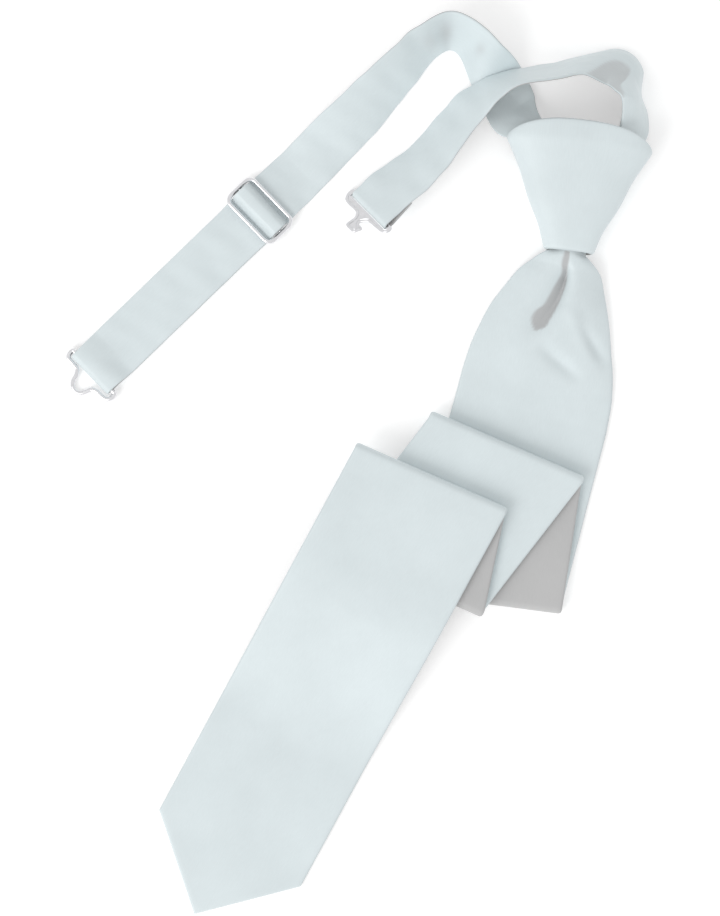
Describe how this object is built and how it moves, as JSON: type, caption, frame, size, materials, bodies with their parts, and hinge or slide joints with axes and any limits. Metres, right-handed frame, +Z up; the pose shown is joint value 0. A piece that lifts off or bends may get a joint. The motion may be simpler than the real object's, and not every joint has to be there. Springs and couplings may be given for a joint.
{
  "type": "pre-tied skinny necktie with clip neck strap",
  "caption": "Pale satin pre-tied skinny necktie with a hollow knot, a folded pointed blade and an open neck strap with slider, hook and eye.",
  "frame": {"origin": "middle of the base of the box round the tie, on the table it lies on", "axes": "+Z up from the table, +Y towards the knot and neck strap, the blade's tip towards -Y"},
  "size_m": [0.23, 0.3512, 0.0251],
  "materials": {
    "satin": "soft satin",
    "slider_metal": "polished",
    "clip_metal": "polished"
  },
  "bodies": {
    "root": {"knot": "satin", "blade": "satin", "hook_strap": "satin", "slider_strap": "satin", "slider": "slider_metal", "eye_clip": "clip_metal", "hook_clip": "clip_metal"}
  },
  "joints": []
}
